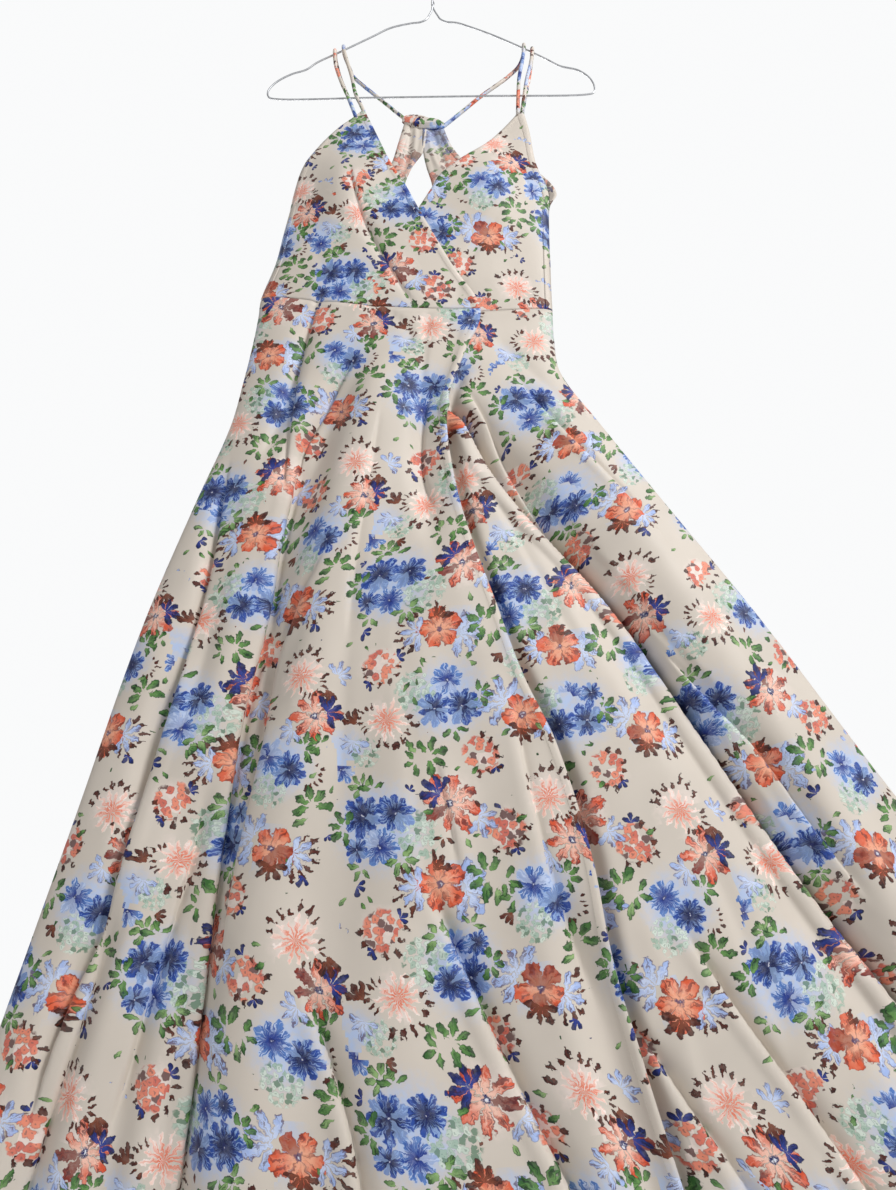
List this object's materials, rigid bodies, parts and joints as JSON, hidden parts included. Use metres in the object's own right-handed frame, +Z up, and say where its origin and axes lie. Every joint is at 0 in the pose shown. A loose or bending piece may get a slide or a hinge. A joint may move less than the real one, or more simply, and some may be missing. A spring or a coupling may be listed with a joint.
{
  "type": "sundress on wire hanger",
  "caption": "Long sleeveless wrap sundress with a V neck, crossing thin straps, a keyhole back and a flared floral skirt, hanging from a bent wire hanger.",
  "frame": {"origin": "the point where the inside of the hanger's hook bears on a rail", "axes": "+Z up along the hanging garment, -Y out of its front, +X to the viewer's right"},
  "size_m": [1.0369, 0.1153, 1.5813],
  "materials": {
    "printed_crepe": "soft crepe, floral print",
    "hanger_steel": "drawn steel wire"
  },
  "bodies": {
    "root": {"bodice_left_front": "printed_crepe", "bodice_right_front": "printed_crepe", "bodice_left_back": "printed_crepe", "bodice_right_back": "printed_crepe", "back_knot": "printed_crepe", "strap_left_inner": "printed_crepe", "strap_left_outer": "printed_crepe", "strap_right_inner": "printed_crepe", "strap_right_outer": "printed_crepe", "skirt_left_front": "printed_crepe", "skirt_right_front": "printed_crepe", "skirt_back": "printed_crepe", "hanger_wire": "hanger_steel"}
  },
  "joints": []
}
